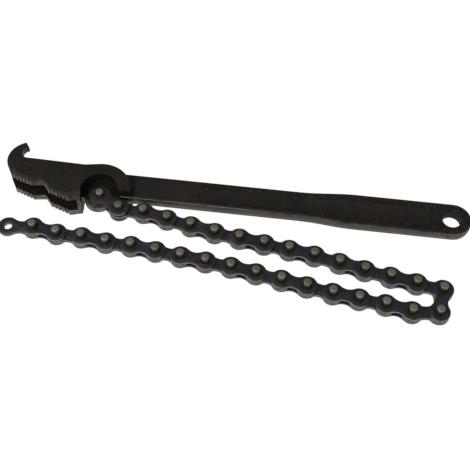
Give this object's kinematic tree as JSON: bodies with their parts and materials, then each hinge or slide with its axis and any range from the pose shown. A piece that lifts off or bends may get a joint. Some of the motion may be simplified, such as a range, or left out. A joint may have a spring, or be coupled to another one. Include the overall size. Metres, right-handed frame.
{
  "type": "chain oil filter wrench",
  "caption": "Forged flat-handle filter wrench with a double toothed jaw, a chain hook and a long flat-link pinned chain that wraps around a canister.",
  "frame": {"origin": "centre of the hang hole, in the mid-plane of the tool", "axes": "+X from the head to the butt along the handle, +Y to the hook's side, +Z square to the flat of the tool"},
  "size_m": [0.298, 0.0963, 0.0192],
  "materials": {
    "forging": "black oxide over a rough forged skin",
    "link_plate": "heat-blued stamped plate with bare edges",
    "pin_steel": "bare oiled steel"
  },
  "bodies": {
    "handle": {"handle_forging": "forging"},
    "link_01": {"outer_link_plates_01": "link_plate", "link_pins_01": "pin_steel"},
    "link_02": {"inner_link_plates_01": "link_plate"},
    "link_03": {"outer_link_plates_02": "link_plate", "link_pins_02": "pin_steel"},
    "link_04": {"inner_link_plates_02": "link_plate"},
    "link_05": {"outer_link_plates_03": "link_plate", "link_pins_03": "pin_steel"},
    "link_06": {"inner_link_plates_03": "link_plate"},
    "link_07": {"outer_link_plates_04": "link_plate", "link_pins_04": "pin_steel"},
    "link_08": {"inner_link_plates_04": "link_plate"},
    "link_09": {"outer_link_plates_05": "link_plate", "link_pins_05": "pin_steel"},
    "link_10": {"inner_link_plates_05": "link_plate"},
    "link_11": {"outer_link_plates_06": "link_plate", "link_pins_06": "pin_steel"},
    "link_12": {"inner_link_plates_06": "link_plate"},
    "link_13": {"outer_link_plates_07": "link_plate", "link_pins_07": "pin_steel"},
    "link_14": {"inner_link_plates_07": "link_plate"},
    "link_15": {"outer_link_plates_08": "link_plate", "link_pins_08": "pin_steel"},
    "link_16": {"inner_link_plates_08": "link_plate"},
    "link_17": {"outer_link_plates_09": "link_plate", "link_pins_09": "pin_steel"},
    "link_18": {"inner_link_plates_09": "link_plate"},
    "link_19": {"outer_link_plates_10": "link_plate", "link_pins_10": "pin_steel"},
    "link_20": {"inner_link_plates_10": "link_plate"},
    "link_21": {"outer_link_plates_11": "link_plate", "link_pins_11": "pin_steel"},
    "link_22": {"inner_link_plates_11": "link_plate"},
    "link_23": {"outer_link_plates_12": "link_plate", "link_pins_12": "pin_steel"},
    "link_24": {"inner_link_plates_12": "link_plate"},
    "link_25": {"outer_link_plates_13": "link_plate", "link_pins_13": "pin_steel"},
    "link_26": {"inner_link_plates_13": "link_plate"},
    "link_27": {"outer_link_plates_14": "link_plate", "link_pins_14": "pin_steel"},
    "link_28": {"inner_link_plates_14": "link_plate"},
    "link_29": {"outer_link_plates_15": "link_plate", "link_pins_15": "pin_steel"},
    "link_30": {"inner_link_plates_15": "link_plate"},
    "link_31": {"outer_link_plates_16": "link_plate", "link_pins_16": "pin_steel"},
    "link_32": {"inner_link_plates_16": "link_plate"}
  },
  "joints": [
    {"name": "anchor_swing", "type": "hinge", "parent": "handle", "child": "link_01", "pos_m": [-0.2223, -0.0087, 0], "axis": [0, 0, -1], "range_deg": [0, 20]},
    {"name": "link_02_bend", "type": "hinge", "parent": "link_01", "child": "link_02", "pos_m": [-0.20861, -0.01673, 0], "axis": [0, 0, -1], "range_deg": [0, 15.5]},
    {"name": "link_03_bend", "type": "hinge", "parent": "link_02", "child": "link_03", "pos_m": [-0.19275, -0.01745, 0], "axis": [0, 0, -1], "range_deg": [-0.5, 12]},
    {"name": "link_04_bend", "type": "hinge", "parent": "link_03", "child": "link_04", "pos_m": [-0.17719, -0.02062, 0], "axis": [0, 0, -1], "range_deg": [-0.5, 10]},
    {"name": "link_05_bend", "type": "hinge", "parent": "link_04", "child": "link_05", "pos_m": [-0.16164, -0.02378, 0], "axis": [0, 0, -1], "range_deg": [-0.5, 8]},
    {"name": "link_06_bend", "type": "hinge", "parent": "link_05", "child": "link_06", "pos_m": [-0.14608, -0.02695, 0], "axis": [0, 0, -1], "range_deg": [-1, 6.5]},
    {"name": "link_07_bend", "type": "hinge", "parent": "link_06", "child": "link_07", "pos_m": [-0.13037, -0.02921, 0], "axis": [0, 0, -1], "range_deg": [-1, 6]},
    {"name": "link_08_bend", "type": "hinge", "parent": "link_07", "child": "link_08", "pos_m": [-0.11466, -0.03148, 0], "axis": [0, 0, -1], "range_deg": [-1, 5]},
    {"name": "link_09_bend", "type": "hinge", "parent": "link_08", "child": "link_09", "pos_m": [-0.09894, -0.03374, 0], "axis": [0, 0, -1], "range_deg": [-1.5, 4]},
    {"name": "link_10_bend", "type": "hinge", "parent": "link_09", "child": "link_10", "pos_m": [-0.08323, -0.03601, 0], "axis": [0, 0, -1], "range_deg": [-1.5, 4]},
    {"name": "link_11_bend", "type": "hinge", "parent": "link_10", "child": "link_11", "pos_m": [-0.06771, -0.03933, 0], "axis": [0, 0, -1], "range_deg": [-2, 3.5]},
    {"name": "link_12_bend", "type": "hinge", "parent": "link_11", "child": "link_12", "pos_m": [-0.05219, -0.04266, 0], "axis": [0, 0, -1], "range_deg": [-3, 3]},
    {"name": "link_13_bend", "type": "hinge", "parent": "link_12", "child": "link_13", "pos_m": [-0.03654, -0.04536, 0], "axis": [0, 0, -1], "range_deg": [-5, 2.5]},
    {"name": "link_14_bend", "type": "hinge", "parent": "link_13", "child": "link_14", "pos_m": [-0.0209, -0.04806, 0], "axis": [0, 0, -1], "range_deg": [-7.5, 2.5]},
    {"name": "fold_a_open", "type": "hinge", "parent": "link_14", "child": "link_15", "pos_m": [-0.00526, -0.05077, 0], "axis": [0, 0, 1], "range_deg": [0, 78]},
    {"name": "fold_b_open", "type": "hinge", "parent": "link_15", "child": "link_16", "pos_m": [-0.00735, -0.0665, 0], "axis": [0, 0, 1], "range_deg": [0, 68]},
    {"name": "link_17_bend", "type": "hinge", "parent": "link_16", "child": "link_17", "pos_m": [-0.02318, -0.06775, 0], "axis": [0, 0, -1], "range_deg": [-35, 2.5]},
    {"name": "link_18_bend", "type": "hinge", "parent": "link_17", "child": "link_18", "pos_m": [-0.03878, -0.06483, 0], "axis": [0, 0, -1], "range_deg": [-16, 2.5]},
    {"name": "link_19_bend", "type": "hinge", "parent": "link_18", "child": "link_19", "pos_m": [-0.05455, -0.06295, 0], "axis": [0, 0, -1], "range_deg": [-20, 3]},
    {"name": "link_20_bend", "type": "hinge", "parent": "link_19", "child": "link_20", "pos_m": [-0.07031, -0.06107, 0], "axis": [0, 0, -1], "range_deg": [-22.5, 3.5]},
    {"name": "link_21_bend", "type": "hinge", "parent": "link_20", "child": "link_21", "pos_m": [-0.08596, -0.05842, 0], "axis": [0, 0, -1], "range_deg": [-20, 4]},
    {"name": "link_22_bend", "type": "hinge", "parent": "link_21", "child": "link_22", "pos_m": [-0.10162, -0.05577, 0], "axis": [0, 0, -1], "range_deg": [-20, 4]},
    {"name": "link_23_bend", "type": "hinge", "parent": "link_22", "child": "link_23", "pos_m": [-0.11727, -0.05313, 0], "axis": [0, 0, -1], "range_deg": [-20, 5]},
    {"name": "link_24_bend", "type": "hinge", "parent": "link_23", "child": "link_24", "pos_m": [-0.13292, -0.05048, 0], "axis": [0, 0, -1], "range_deg": [-17, 6]},
    {"name": "link_25_bend", "type": "hinge", "parent": "link_24", "child": "link_25", "pos_m": [-0.14869, -0.04863, 0], "axis": [0, 0, -1], "range_deg": [-20, 6.5]},
    {"name": "link_26_bend", "type": "hinge", "parent": "link_25", "child": "link_26", "pos_m": [-0.16445, -0.04677, 0], "axis": [0, 0, -1], "range_deg": [-20, 8]},
    {"name": "link_27_bend", "type": "hinge", "parent": "link_26", "child": "link_27", "pos_m": [-0.18022, -0.04492, 0], "axis": [0, 0, -1], "range_deg": [-20, 9.5]},
    {"name": "link_28_bend", "type": "hinge", "parent": "link_27", "child": "link_28", "pos_m": [-0.19599, -0.04307, 0], "axis": [0, 0, -1], "range_deg": [-15.5, 12]},
    {"name": "link_29_bend", "type": "hinge", "parent": "link_28", "child": "link_29", "pos_m": [-0.21185, -0.0424, 0], "axis": [0, 0, -1], "range_deg": [-24.5, 15]},
    {"name": "link_30_bend", "type": "hinge", "parent": "link_29", "child": "link_30", "pos_m": [-0.2276, -0.04042, 0], "axis": [0, 0, -1], "range_deg": [-14.5, 20]},
    {"name": "link_31_bend", "type": "hinge", "parent": "link_30", "child": "link_31", "pos_m": [-0.24346, -0.03989, 0], "axis": [0, 0, -1], "range_deg": [-28, 32]},
    {"name": "end_link_swing", "type": "hinge", "parent": "link_31", "child": "link_32", "pos_m": [-0.25909, -0.0371, 0], "axis": [0, 0, -1], "range_deg": [-80, 80]}
  ]
}
